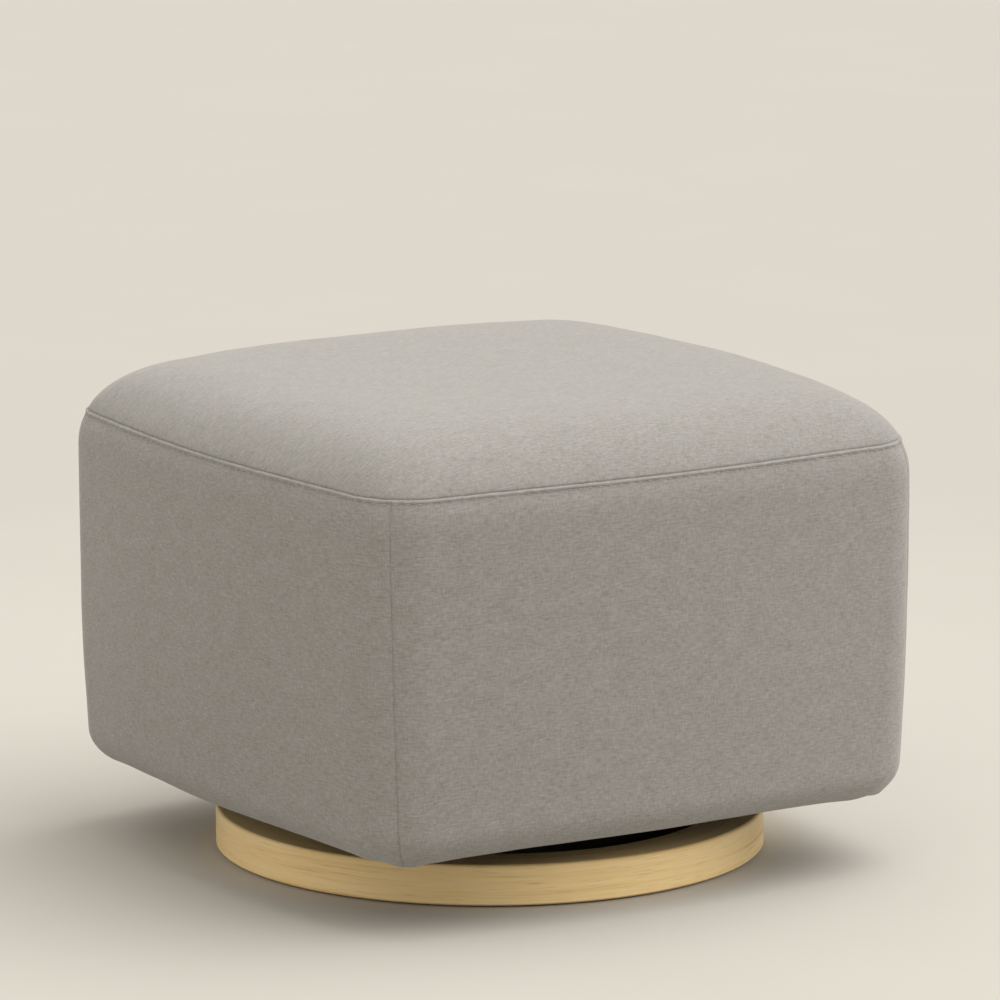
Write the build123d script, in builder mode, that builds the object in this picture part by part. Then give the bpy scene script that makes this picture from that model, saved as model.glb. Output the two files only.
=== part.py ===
from build123d import *
import os
from math import asin, atan, cos, degrees, radians, sin, sqrt

# Upholstered glider ottoman. Millimetres, +Z up, front towards -Y.
# The origin is on the floor, under the middle of the round base.
# The seat glides along Y on four equal hanging links.

# Upholstered block
body_width = 606.0  # left to right, outside the fabric at the widest height
body_depth = 606.0  # front to rear, the same way
body_underside = 66.0  # floor to the fabric wrapped under the frame
seam_height = 382.0  # floor to the seam between the sides and the top
crown_height = 430.0  # floor to the highest part of the top
widest_height = 300.0  # floor to the widest part of the sides
side_bow = 19.6  # how far each side stands out in its middle
corner_radius = 63.0  # plan radius of the four upright corners
roll_radius = 28.0  # rounding where the sides turn under
foot_inset = 4.7  # sides drawn in just above that rounding
shoulder_inset = 7.0  # sides drawn in at the seam
shoulder_height = 32.0  # height over which they draw in
crown_power = 8.0  # how flat the middle of the top is
crown_ease = 0.92  # how softly the top leaves the seam
cover_thickness = 2.0
cover_lip = 25.0  # fabric turned in under the frame
lip_overlap = 12.0  # dust cloth over that fabric
cloth_thickness = 1.2
soft_gap = 0.3  # left between a soft piece and what it lies on

# Seat frame
foam_at_corner = 22.4  # foam beside the panels' ends
panel_thickness = 3.0
panel_end_gap = 36.0  # panels stop short of the frame's corners
foot_gap = 10.0  # panels and posts above the underside of the frame
post_size = 34.0
corner_cut = 31.5  # corners cut off the posts and the deck
rail_thickness = 22.0
bottom_rail_height = 60.0
top_rail_height = 45.0
rail_easing = 1.5  # eased edges of the timber
bottom_easing = 7.0  # of the bottom rails, where the cover turns under them
deck_height = 340.0  # floor to the top of the deck board
deck_thickness = 12.0
vent_radius = 12.0  # air holes in the deck
vent_spacing = 150.0
block_leg = 58.0  # corner blocks, from the outside of the frame
block_height = 34.0
block_inset = 8.0  # blocks back from the rails' edges
block_gap = 1.7  # corner blocks to the mount rails
mount_rail_width = 45.0
mount_rail_height = 48.0
stretcher_height = 30.0
stretcher_y = 170.0  # middle of the frame to the near face of a stretcher

# Base
pad_thickness = 2.0
pad_radius = 14.0
pad_count = 6
ring_radius = 244.0
ring_wall = 42.0
ring_height = 36.0
ring_top_round = 3.0
ring_edge_cut = 1.5
steel = 3.0  # sheet of the cross rails
rail_end_margin = 6.25  # ends of the cross rails inside the ring's outer face
cross_rail_width = 50.0
cross_rail_corner = 6.0
rib_end_gap = 13.25  # ends of the ribs to the ring's inner face
rib_width = 30.0
rib_height = 14.0
rib_taper = 20.0
rail_recess = 0.3  # rail ends above the ring's underside
pocket_gap = 0.3
screw_edge = 9.0  # screws to the ends of the cross rails
screw_spacing = 28.0
screw_radius = 2.2
screw_head_radius = 4.4
screw_length = 24.0

# Glide mechanism
glide_angle = 22.0  # swing of the links each way
link_length = 100.0  # between the two pivots of a link
lower_pivot_height = 84.0
pivot_spread = 70.0  # middle to the front and rear pivots
stand_thickness = 4.0
stand_foot = 34.0
stand_length = 210.0
stand_shoulder = 26.0
stand_bend = 4.0
stand_eye_radius = 18.0
saddle_radius = 45.0
saddle_rise = 25.0
lightening_radius = 24.0
lightening_height = 88.0
side_hole_radius = 13.0
side_hole_y = 58.0
boss_length = 5.5
boss_radius = 12.0
spreader_radius = 11.0
spreader_wall = 2.0
spreader_height = 135.0
pin_radius = 4.0
nut_flats = 13.0
nut_height = 6.5
upper_head = 5.0
lower_head = 4.5
pin_tail = 2.0  # thread beyond the nut
sleeve_radius = 6.0
sleeve_length = 10.0
bush_radius = 9.0
bush_flange_radius = 12.0
bush_flange = 1.4
running_fit = 0.05  # on the radius, between turning pieces
pressed_fit = 0.02  # on the radius, between pressed pieces
side_play = 0.3  # beside each turning piece
eye_radius = 13.0
web_width = 20.0
web_thickness = 5.0
web_blend = 9.0
bumper_radius = 8.0
bumper_length = 14.0
bumper_reach = 52.0  # upper pivot to the line where the bumper is met
stud_radius = 3.0
stud_head_radius = 6.0
stud_head = 2.0

# Fasteners and angles of the mechanism
stand_bolt_inset = (26.0, 12.0)  # bolts from the upright of the stand
stand_bolt_radius = 3.0
stand_bolt_flats = 10.0
stand_bolt_head = 4.0
stand_nut_height = 5.0
angle_thickness = 4.0
angle_width = 44.5
angle_length = 330.0
angle_ear_length = 190.0
angle_ear_top = 20.0  # above the lower pivots
angle_lip_height = 12.0
angle_bend = 4.0
wood_gap = 9.5  # room for the nuts between angle and mount rail
carriage_bolt_spacing = 140.0
carriage_head_radius = 9.0
carriage_head_crown = 5.0
carriage_head = 3.5

# Heights and places that follow
frame_bottom = body_underside + cover_thickness + soft_gap
deck_bottom = deck_height - deck_thickness
skin = side_bow + cover_thickness + soft_gap + foam_at_corner
panel_x = body_width / 2 - skin
panel_y = body_depth / 2 - skin
frame_x = panel_x - panel_thickness
frame_y = panel_y - panel_thickness
rail_inside_x = frame_x - rail_thickness
rail_inside_y = frame_y - rail_thickness
mount_rail_x = frame_x - block_leg - block_gap - mount_rail_width
angle_face = mount_rail_x - wood_gap
angle_x = angle_face - angle_thickness
sleeve_start = angle_x - sleeve_length
stand_face = sleeve_start - boss_length
stand_x = stand_face - stand_thickness
stand_bolt_x = [stand_x - inset for inset in stand_bolt_inset]
cross_rail_y = (stand_length - cross_rail_width) / 2
cross_rail_length = 2 * (
    sqrt(ring_radius**2 - (cross_rail_y + cross_rail_width / 2) ** 2) - rail_end_margin
)
rib_length = 2 * (
    sqrt((ring_radius - ring_wall) ** 2 - (cross_rail_y + rib_width / 2) ** 2) - rib_end_gap
)
screw_x = cross_rail_length / 2 - screw_edge
upper_pivot_height = lower_pivot_height + link_length
ring_bottom = pad_thickness
ring_top = ring_bottom + ring_height
rail_bottom = ring_bottom + rail_recess
rib_base = rail_bottom + steel
rib_top = rib_base + rib_height
flange_end = angle_x + angle_width
eye_start = sleeve_start + side_play + bush_flange
eye_width = sleeve_length - 2 * side_play - bush_flange
carriage_bolt_x = (mount_rail_x + flange_end) / 2
pivot_ys = (-pivot_spread, pivot_spread)
os.makedirs("parts", exist_ok=True)


def bowed_side(half_along, half_out, radius, bow):
    """Where a bowed side meets its corner rounding, measured along it and out to it."""
    chord = half_along - radius - bow
    curve = (chord**2 + bow**2) / (2 * bow)
    turn = asin(chord / curve)
    return (curve + radius) * sin(turn), half_out - radius - curve + (curve + radius) * cos(turn)


def body_outline(height, inset):
    """Plan of the block at a height, with bowed sides and round corners, drawn in by inset."""
    share = 1 - 2 * inset / body_width
    half_x = body_width / 2 - inset
    half_y = body_depth / 2 - inset
    front_x, front_y = bowed_side(half_x, half_y, corner_radius * share, side_bow * share)
    right_y, right_x = bowed_side(half_y, half_x, corner_radius * share, side_bow * share)
    corner = (side_bow + corner_radius * (1 - 1 / sqrt(2))) * share
    corner_x = half_x - corner
    corner_y = half_y - corner
    with BuildSketch(Plane.XY.offset(height)) as plan:
        with BuildLine():
            for s in (1, -1):
                ThreePointArc((-s * front_x, -s * front_y), (0, -s * half_y), (s * front_x, -s * front_y))
                ThreePointArc((s * front_x, -s * front_y), (s * corner_x, -s * corner_y),
                              (s * right_x, -s * right_y))
                ThreePointArc((s * right_x, -s * right_y), (s * half_x, 0), (s * right_x, s * right_y))
                ThreePointArc((s * right_x, s * right_y), (s * corner_x, s * corner_y),
                              (s * front_x, s * front_y))
        make_face()
    return plan.sketch


def body_levels():
    """Inset, height and upward tilt of the surface, from the underside to the flat of the top."""
    levels = []
    for tilt in (-90, -67.5, -45, -22.5, 0):
        turn = radians(tilt)
        levels.append((foot_inset + roll_radius * (1 - cos(turn)),
                       body_underside + roll_radius * (1 + sin(turn)), turn))
    upright = widest_height - body_underside - roll_radius
    for share in (0.7, 0.4, 0):
        levels.append((foot_inset * share**2, widest_height - share * upright, 0))
    for share in (0, 0.5, 1):
        levels.append((shoulder_inset * share**2, seam_height - shoulder_height * (1 - share),
                       atan(2 * share * shoulder_inset / shoulder_height)))
    half = body_width / 2 - shoulder_inset
    for share in (0.97, 0.93, 0.87, 0.78, 0.65, 0.5):
        fall = 1 - share**crown_power
        rise = (crown_height - seam_height) * fall**crown_ease
        slope = crown_power * crown_ease * rise * share ** (crown_power - 1) / fall / half
        levels.append((body_width / 2 - half * share, seam_height + rise, atan(1 / slope)))
    return levels


def upholstered_form(depth):
    """The whole soft block, lofted from level to level, drawn in by depth on every side."""
    with BuildPart() as form:
        for inset, height, tilt in body_levels():
            add(body_outline(height - depth * sin(tilt), inset + depth * cos(tilt)))
        loft(ruled=True)
    return form.part


def side_wedge(side_x, side_y, height):
    """Plan of the quarter of the block behind one side, out to the corner seams."""
    with BuildSketch(Plane.XY.offset(height)) as wedge:
        with BuildLine():
            Polyline(
                (0, 0),
                (body_width * (side_x or -1), body_depth * (side_y or -1)),
                (body_width * (side_x or 1), body_depth * (side_y or 1)),
                close=True,
            )
        make_face()
    return wedge.sketch


def eased_board(low, high, easing=rail_easing):
    """A board between two opposite corners, with its long edges eased."""
    size = [b - a for a, b in zip(low, high)]
    middle = [(a + b) / 2 for a, b in zip(low, high)]
    with BuildPart(Plane.XY.offset(low[2])) as board:
        with Locations((middle[0], middle[1])):
            Box(*size, align=(Align.CENTER, Align.CENTER, Align.MIN))
        long_way = Axis.X if size[0] > size[1] else Axis.Y
        chamfer(board.edges().filter_by(long_way), easing)
    return board.part


sides = {"front": (0, -1), "rear": (0, 1), "left": (-1, 0), "right": (1, 0)}
ends = {"front": -1, "rear": 1}
hands = {"left": -1, "right": 1}

# ---------------------------------------------------------------- base
with BuildPart() as base_ring:
    with BuildSketch(Plane.XZ) as ring_section:
        with Locations((ring_radius - ring_wall / 2, ring_bottom + ring_height / 2)):
            Rectangle(ring_wall, ring_height)
        fillet(ring_section.vertices().sort_by_distance((ring_radius, ring_top))[0], ring_top_round)
        chamfer(ring_section.vertices().group_by(Axis.Y)[0], ring_edge_cut)
        inner_rim = ring_section.vertices().sort_by_distance((ring_radius - ring_wall, ring_top))[0]
        chamfer(inner_rim, ring_edge_cut)
    revolve(axis=Axis.Z)
    # pockets under the ring for the ends of the cross rails
    with BuildSketch(Plane.XY.offset(ring_bottom)):
        with Locations((0, -cross_rail_y), (0, cross_rail_y)):
            Rectangle(cross_rail_length + 2 * pocket_gap, cross_rail_width + 2 * pocket_gap)
    extrude(amount=rib_base - ring_bottom, mode=Mode.SUBTRACT)
    with BuildSketch(Plane.XY.offset(ring_bottom)):
        for end_y in (-cross_rail_y, cross_rail_y):
            with Locations((0, end_y)):
                with GridLocations(2 * screw_x, screw_spacing, 2, 2):
                    Circle(screw_radius + pressed_fit)
    extrude(amount=screw_length + 1, mode=Mode.SUBTRACT)
base_ring.part.label = "base_ring"
export_step(base_ring.part, "parts/base_ring.step")

with BuildPart() as floor_pads:
    with BuildSketch():
        with PolarLocations(ring_radius - ring_wall / 2, pad_count):
            Circle(pad_radius)
    extrude(amount=pad_thickness)
floor_pads.part.label = "floor_pads"
export_step(floor_pads.part, "parts/floor_pads.step")

for end, end_sign in ends.items():
    rail_y = end_sign * cross_rail_y
    with BuildPart() as cross_rail:
        with BuildSketch(Plane.XY.offset(rail_bottom)):
            with Locations((0, rail_y)):
                RectangleRounded(cross_rail_length, cross_rail_width, cross_rail_corner)
        extrude(amount=steel)
        # pressed rib, open underneath
        with BuildSketch(Plane.XY.offset(rib_base)):
            with Locations((0, rail_y)):
                Rectangle(rib_length, rib_width)
        extrude(amount=rib_height, taper=rib_taper)
        with BuildSketch(Plane.XY.offset(rail_bottom)):
            with Locations((0, rail_y)):
                Rectangle(rib_length - 2 * steel, rib_width - 2 * steel)
        extrude(amount=rib_height, taper=rib_taper, mode=Mode.SUBTRACT)
        with BuildSketch(Plane.XY.offset(rail_bottom)):
            with Locations((0, rail_y)):
                with GridLocations(2 * screw_x, screw_spacing, 2, 2):
                    Circle(screw_radius + running_fit)
                for bolt_x in stand_bolt_x:
                    with Locations((-bolt_x, 0), (bolt_x, 0)):
                        Circle(stand_bolt_radius + running_fit)
        extrude(amount=rib_top - rail_bottom, mode=Mode.SUBTRACT)
        # countersinks, from below
        head_depth = screw_head_radius - screw_radius
        for hole_x in (-screw_x, screw_x):
            for hole_y in (rail_y - screw_spacing / 2, rail_y + screw_spacing / 2):
                with Locations((hole_x, hole_y, rail_bottom + head_depth / 2)):
                    Cone(screw_head_radius + running_fit, screw_radius + running_fit,
                         head_depth, mode=Mode.SUBTRACT)
    cross_rail.part.label = f"{end}_cross_rail"
    export_step(cross_rail.part, f"parts/{end}_cross_rail.step")

with BuildPart() as cross_rail_screws:
    head_depth = screw_head_radius - screw_radius
    for hole_y in (-cross_rail_y, cross_rail_y):
        with Locations((0, hole_y, rail_bottom)):
            with GridLocations(2 * screw_x, screw_spacing, 2, 2):
                Cone(screw_head_radius, screw_radius, head_depth,
                     align=(Align.CENTER, Align.CENTER, Align.MIN))
                Cylinder(screw_radius, screw_length - rail_recess,
                         align=(Align.CENTER, Align.CENTER, Align.MIN))
cross_rail_screws.part.label = "cross_rail_screws"
export_step(cross_rail_screws.part, "parts/cross_rail_screws.step")

# bumpers stand where the links meet them at the end of the swing
meet_angle = glide_angle + degrees(asin((web_width / 2 + bumper_radius + side_play) / bumper_reach))
bumper_y = pivot_spread - bumper_reach * sin(radians(meet_angle))
bumper_height = upper_pivot_height - bumper_reach * cos(radians(meet_angle))

for hand, hand_sign in hands.items():
    with BuildPart() as stand:
        # upright plate with its foot bent inwards
        with BuildSketch(Plane.XZ) as bent:
            with BuildLine():
                Polyline(
                    (hand_sign * (stand_x - stand_foot), rib_top),
                    (hand_sign * stand_face, rib_top),
                    (hand_sign * stand_face, upper_pivot_height + stand_eye_radius),
                    (hand_sign * stand_x, upper_pivot_height + stand_eye_radius),
                    (hand_sign * stand_x, rib_top + stand_thickness),
                    (hand_sign * (stand_x - stand_foot), rib_top + stand_thickness),
                    close=True,
                )
            make_face()
            heel = bent.vertices().sort_by_distance((hand_sign * stand_face, rib_top))[0]
            fillet(heel, stand_bend + stand_thickness)
            crook = bent.vertices().sort_by_distance(
                (hand_sign * stand_x, rib_top + stand_thickness))[0]
            fillet(crook, stand_bend)
        extrude(amount=stand_length / 2, both=True)
        with BuildSketch(Plane.YZ) as side_view:
            with Locations(*[(y, upper_pivot_height) for y in pivot_ys]):
                Circle(stand_eye_radius)
            with Locations((0, rib_top + stand_shoulder / 2)):
                Rectangle(stand_length, stand_shoulder)
            make_hull()
            with Locations((0, upper_pivot_height + saddle_rise)):
                Circle(saddle_radius, mode=Mode.SUBTRACT)
            with Locations((0, lightening_height)):
                Circle(lightening_radius, mode=Mode.SUBTRACT)
            with Locations((-side_hole_y, lightening_height), (side_hole_y, lightening_height)):
                Circle(side_hole_radius, mode=Mode.SUBTRACT)
        extrude(amount=stand_face, both=True, mode=Mode.INTERSECT)
        # raised bosses that the links' sleeves seat on
        with BuildSketch(Plane.YZ.offset(hand_sign * stand_x)):
            with Locations(*[(y, upper_pivot_height) for y in pivot_ys]):
                Circle(boss_radius)
        extrude(amount=hand_sign * (stand_thickness + boss_length))
        with BuildSketch(Plane.YZ):
            with Locations(*[(y, upper_pivot_height) for y in pivot_ys]):
                Circle(pin_radius + running_fit)
            with Locations((-bumper_y, bumper_height), (bumper_y, bumper_height)):
                Circle(stud_radius + pressed_fit)
        extrude(amount=hand_sign * sleeve_start, mode=Mode.SUBTRACT)
        with BuildSketch(Plane.XY.offset(rib_top)):
            for bolt_x in stand_bolt_x:
                with Locations((hand_sign * bolt_x, -cross_rail_y), (hand_sign * bolt_x, cross_rail_y)):
                    Circle(stand_bolt_radius + running_fit)
        extrude(amount=stand_thickness, mode=Mode.SUBTRACT)
    stand.part.label = f"{hand}_stand"
    export_step(stand.part, f"parts/{hand}_stand.step")

bolt_places = [(sign * x, y) for sign in (-1, 1) for x in stand_bolt_x
               for y in (-cross_rail_y, cross_rail_y)]
nut_face = rib_top - steel
with BuildPart() as stand_bolts:
    with BuildSketch(Plane.XY.offset(rib_top + stand_thickness)):
        with Locations(*bolt_places):
            RegularPolygon(stand_bolt_flats / 2, 6, major_radius=False)
    extrude(amount=stand_bolt_head)
    with BuildSketch(Plane.XY.offset(rib_top + stand_thickness)):
        with Locations(*bolt_places):
            Circle(stand_bolt_radius)
    extrude(amount=-(rib_top + stand_thickness - nut_face + stand_nut_height))
stand_bolts.part.label = "stand_bolts"
export_step(stand_bolts.part, "parts/stand_bolts.step")

with BuildPart() as stand_nuts:
    with BuildSketch(Plane.XY.offset(nut_face)):
        with Locations(*bolt_places):
            RegularPolygon(stand_bolt_flats / 2, 6, major_radius=False)
            Circle(stand_bolt_radius + running_fit, mode=Mode.SUBTRACT)
    extrude(amount=-stand_nut_height)
stand_nuts.part.label = "stand_nuts"
export_step(stand_nuts.part, "parts/stand_nuts.step")

with BuildPart() as spreader_tube:
    with BuildSketch(Plane.YZ):
        with Locations((0, spreader_height)):
            Circle(spreader_radius)
            Circle(spreader_radius - spreader_wall, mode=Mode.SUBTRACT)
    extrude(amount=stand_x, both=True)
spreader_tube.part.label = "spreader_tube"
export_step(spreader_tube.part, "parts/spreader_tube.step")

with BuildPart() as stop_bumpers:
    for sign in hands.values():
        with BuildSketch(Plane.YZ.offset(sign * stand_face)):
            with Locations((-bumper_y, bumper_height), (bumper_y, bumper_height)):
                Circle(bumper_radius)
        extrude(amount=sign * bumper_length)
        with BuildSketch(Plane.YZ.offset(sign * stand_face)):
            with Locations((-bumper_y, bumper_height), (bumper_y, bumper_height)):
                Circle(stud_radius)
        extrude(amount=-sign * stand_thickness)
        with BuildSketch(Plane.YZ.offset(sign * stand_x)):
            with Locations((-bumper_y, bumper_height), (bumper_y, bumper_height)):
                Circle(stud_head_radius)
        extrude(amount=-sign * stud_head)
stop_bumpers.part.label = "stop_bumpers"
export_step(stop_bumpers.part, "parts/stop_bumpers.step")


# ---------------------------------------------------------------- pivots
def pivot_discs(height, start, length, radius, bore=0.0, flats=False):
    """Round or hexagonal discs on the four pivot lines of one height, mirrored left and right."""
    with BuildPart() as discs:
        for sign in hands.values():
            with BuildSketch(Plane.YZ.offset(sign * start)):
                with Locations(*[(y, height) for y in pivot_ys]):
                    if flats:
                        RegularPolygon(radius, 6, major_radius=False)
                    else:
                        Circle(radius)
                    if bore:
                        Circle(bore, mode=Mode.SUBTRACT)
            extrude(amount=sign * length)
    return discs.part


pin_bore = pin_radius + running_fit
with BuildPart() as upper_pivot_pins:
    add(pivot_discs(upper_pivot_height, angle_x, upper_head, nut_flats / 2, flats=True))
    add(pivot_discs(upper_pivot_height, stand_x - nut_height - pin_tail,
                    angle_x - stand_x + nut_height + pin_tail, pin_radius))
upper_pivot_pins.part.label = "upper_pivot_pins"
export_step(upper_pivot_pins.part, "parts/upper_pivot_pins.step")

with BuildPart() as upper_pin_nuts:
    add(pivot_discs(upper_pivot_height, stand_x - nut_height, nut_height,
                    nut_flats / 2, pin_bore, flats=True))
upper_pin_nuts.part.label = "upper_pin_nuts"
export_step(upper_pin_nuts.part, "parts/upper_pin_nuts.step")

with BuildPart() as upper_pivot_sleeves:
    add(pivot_discs(upper_pivot_height, sleeve_start, sleeve_length, sleeve_radius, pin_bore))
upper_pivot_sleeves.part.label = "upper_pivot_sleeves"
export_step(upper_pivot_sleeves.part, "parts/upper_pivot_sleeves.step")

with BuildPart() as lower_pivot_pins:
    add(pivot_discs(lower_pivot_height, sleeve_start - lower_head, lower_head,
                    nut_flats / 2, flats=True))
    add(pivot_discs(lower_pivot_height, sleeve_start,
                    sleeve_length + angle_thickness + nut_height + pin_tail, pin_radius))
lower_pivot_pins.part.label = "lower_pivot_pins"
export_step(lower_pivot_pins.part, "parts/lower_pivot_pins.step")

with BuildPart() as lower_pin_nuts:
    add(pivot_discs(lower_pivot_height, angle_face, nut_height, nut_flats / 2, pin_bore, flats=True))
lower_pin_nuts.part.label = "lower_pin_nuts"
export_step(lower_pin_nuts.part, "parts/lower_pin_nuts.step")

with BuildPart() as lower_pivot_sleeves:
    add(pivot_discs(lower_pivot_height, sleeve_start, sleeve_length, sleeve_radius, pin_bore))
lower_pivot_sleeves.part.label = "lower_pivot_sleeves"
export_step(lower_pivot_sleeves.part, "parts/lower_pivot_sleeves.step")

# ---------------------------------------------------------------- links
web_start = eye_start + (eye_width - web_thickness) / 2
for end, end_sign in ends.items():
    for hand, hand_sign in hands.items():
        link_y = end_sign * pivot_spread
        eyes = [(link_y, lower_pivot_height), (link_y, upper_pivot_height)]
        with BuildPart() as link:
            with BuildSketch(Plane.YZ.offset(hand_sign * web_start)) as web:
                with Locations((link_y, lower_pivot_height + link_length / 2)):
                    Rectangle(web_width, link_length)
                with Locations(*eyes):
                    Circle(eye_radius)
                throats = [v for v in web.vertices()
                           if abs(abs(v.Y - link_y) - web_width / 2) < 0.01]
                fillet(throats, web_blend)
            extrude(amount=hand_sign * web_thickness)
            with BuildSketch(Plane.YZ.offset(hand_sign * eye_start)):
                with Locations(*eyes):
                    Circle(eye_radius)
            extrude(amount=hand_sign * eye_width)
            with BuildSketch(Plane.YZ.offset(hand_sign * eye_start)):
                with Locations(*eyes):
                    Circle(bush_radius + pressed_fit)
            extrude(amount=hand_sign * eye_width, mode=Mode.SUBTRACT)
        link.part.label = f"swing_link_{end}_{hand}"
        export_step(link.part, f"parts/swing_link_{end}_{hand}.step")

        with BuildPart() as bushes:
            with BuildSketch(Plane.YZ.offset(hand_sign * (eye_start - bush_flange))):
                with Locations(*eyes):
                    Circle(bush_flange_radius)
            extrude(amount=hand_sign * bush_flange)
            with BuildSketch(Plane.YZ.offset(hand_sign * eye_start)):
                with Locations(*eyes):
                    Circle(bush_radius)
            extrude(amount=hand_sign * eye_width)
            with BuildSketch(Plane.YZ.offset(hand_sign * (eye_start - bush_flange))):
                with Locations(*eyes):
                    Circle(sleeve_radius + running_fit)
            extrude(amount=hand_sign * (eye_width + bush_flange), mode=Mode.SUBTRACT)
        bushes.part.label = f"link_bushes_{end}_{hand}"
        export_step(bushes.part, f"parts/link_bushes_{end}_{hand}.step")

# ---------------------------------------------------------------- carriage
bolt_ys = (-carriage_bolt_spacing, 0, carriage_bolt_spacing)
for hand, hand_sign in hands.items():
    with BuildPart() as angle:
        # steel angle: upright leg inside, flange turned out under the mount rail
        with BuildSketch(Plane.XZ) as bent:
            with BuildLine():
                Polyline(
                    (hand_sign * angle_x, frame_bottom),
                    (hand_sign * flange_end, frame_bottom),
                    (hand_sign * flange_end, frame_bottom + angle_thickness),
                    (hand_sign * angle_face, frame_bottom + angle_thickness),
                    (hand_sign * angle_face, lower_pivot_height + angle_ear_top),
                    (hand_sign * angle_x, lower_pivot_height + angle_ear_top),
                    close=True,
                )
            make_face()
            heel = bent.vertices().sort_by_distance((hand_sign * angle_x, frame_bottom))[0]
            fillet(heel, angle_bend)
        extrude(amount=angle_length / 2, both=True)
        with BuildSketch(Plane.YZ):
            with BuildLine():
                lip_top = frame_bottom + angle_lip_height
                ear_top = lower_pivot_height + angle_ear_top
                Polyline(
                    (-angle_length / 2, frame_bottom),
                    (-angle_length / 2, lip_top),
                    (-angle_ear_length / 2 - angle_ear_top, lip_top),
                    (-angle_ear_length / 2, ear_top),
                    (angle_ear_length / 2, ear_top),
                    (angle_ear_length / 2 + angle_ear_top, lip_top),
                    (angle_length / 2, lip_top),
                    (angle_length / 2, frame_bottom),
                    close=True,
                )
            make_face()
        extrude(amount=flange_end, both=True, mode=Mode.INTERSECT)
        with BuildSketch(Plane.YZ.offset(hand_sign * angle_x)):
            with Locations(*[(y, lower_pivot_height) for y in pivot_ys]):
                Circle(pin_bore)
        extrude(amount=hand_sign * angle_thickness, mode=Mode.SUBTRACT)
        with BuildSketch(Plane.XY.offset(frame_bottom)):
            with Locations(*[(hand_sign * carriage_bolt_x, y) for y in bolt_ys]):
                Circle(pin_bore)
        extrude(amount=angle_thickness, mode=Mode.SUBTRACT)
    angle.part.label = f"{hand}_carriage_rail"
    export_step(angle.part, f"parts/{hand}_carriage_rail.step")

    with BuildPart() as mount_rail:
        near = hand_sign * mount_rail_x
        far = hand_sign * (mount_rail_x + mount_rail_width)
        add(eased_board((min(near, far), -rail_inside_y, frame_bottom),
                        (max(near, far), rail_inside_y, frame_bottom + mount_rail_height)))
        # rebate for the flange of the steel angle
        with BuildSketch(Plane.XY.offset(frame_bottom)):
            with Locations((hand_sign * (mount_rail_x + flange_end) / 2, 0)):
                Rectangle(flange_end - mount_rail_x + 2 * pocket_gap, angle_length + 2 * pocket_gap)
        extrude(amount=angle_thickness, mode=Mode.SUBTRACT)
        with BuildSketch(Plane.XY.offset(frame_bottom)):
            with Locations(*[(hand_sign * carriage_bolt_x, y) for y in bolt_ys]):
                Circle(pin_bore)
        extrude(amount=mount_rail_height, mode=Mode.SUBTRACT)
    mount_rail.part.label = f"{hand}_mount_rail"
    export_step(mount_rail.part, f"parts/{hand}_mount_rail.step")

bolt_places = [(sign * carriage_bolt_x, y) for sign in (-1, 1) for y in bolt_ys]
rail_top = frame_bottom + mount_rail_height
with BuildPart() as carriage_bolts:
    with Locations(*[(x, y, frame_bottom) for x, y in bolt_places]):
        Cone(carriage_head_crown, carriage_head_radius, carriage_head,
             align=(Align.CENTER, Align.CENTER, Align.MAX))
    with BuildSketch(Plane.XY.offset(frame_bottom)):
        with Locations(*bolt_places):
            Circle(pin_radius)
    extrude(amount=mount_rail_height + nut_height + pin_tail)
carriage_bolts.part.label = "carriage_bolts"
export_step(carriage_bolts.part, "parts/carriage_bolts.step")

with BuildPart() as carriage_nuts:
    with BuildSketch(Plane.XY.offset(rail_top)):
        with Locations(*bolt_places):
            RegularPolygon(nut_flats / 2, 6, major_radius=False)
            Circle(pin_bore, mode=Mode.SUBTRACT)
    extrude(amount=nut_height)
carriage_nuts.part.label = "carriage_nuts"
export_step(carriage_nuts.part, "parts/carriage_nuts.step")

# ---------------------------------------------------------------- seat frame
with BuildPart() as mount_stretchers:
    for sign in ends.values():
        near = sign * stretcher_y
        far = sign * (stretcher_y + rail_thickness)
        add(eased_board((-mount_rail_x, min(near, far), frame_bottom),
                        (mount_rail_x, max(near, far), frame_bottom + stretcher_height)))
mount_stretchers.part.label = "mount_stretchers"
export_step(mount_stretchers.part, "parts/mount_stretchers.step")

with BuildPart() as corner_posts:
    with BuildSketch(Plane.XY.offset(frame_bottom + foot_gap)) as posts:
        with GridLocations(2 * frame_x - post_size, 2 * frame_y - post_size, 2, 2):
            Rectangle(post_size, post_size)
        outer = posts.vertices().sort_by(lambda v: abs(v.X) / frame_x + abs(v.Y) / frame_y)[-4:]
        chamfer(outer, corner_cut)
    extrude(amount=deck_bottom - frame_bottom - foot_gap)
corner_posts.part.label = "corner_posts"
export_step(corner_posts.part, "parts/corner_posts.step")

for level, low, high in (
    ("bottom", frame_bottom, frame_bottom + bottom_rail_height),
    ("top", deck_bottom - top_rail_height, deck_bottom),
):
    for side, (side_x, side_y) in sides.items():
        if side_y:
            edges_y = sorted((side_y * frame_y, side_y * rail_inside_y))
            corners = ((post_size - frame_x, edges_y[0], low), (frame_x - post_size, edges_y[1], high))
        else:
            edges_x = sorted((side_x * frame_x, side_x * rail_inside_x))
            corners = ((edges_x[0], post_size - frame_y, low), (edges_x[1], frame_y - post_size, high))
        with BuildPart() as rail:
            add(eased_board(*corners, bottom_easing if level == "bottom" else rail_easing))
        rail.part.label = f"{side}_{level}_rail"
        export_step(rail.part, f"parts/{side}_{level}_rail.step")

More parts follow.
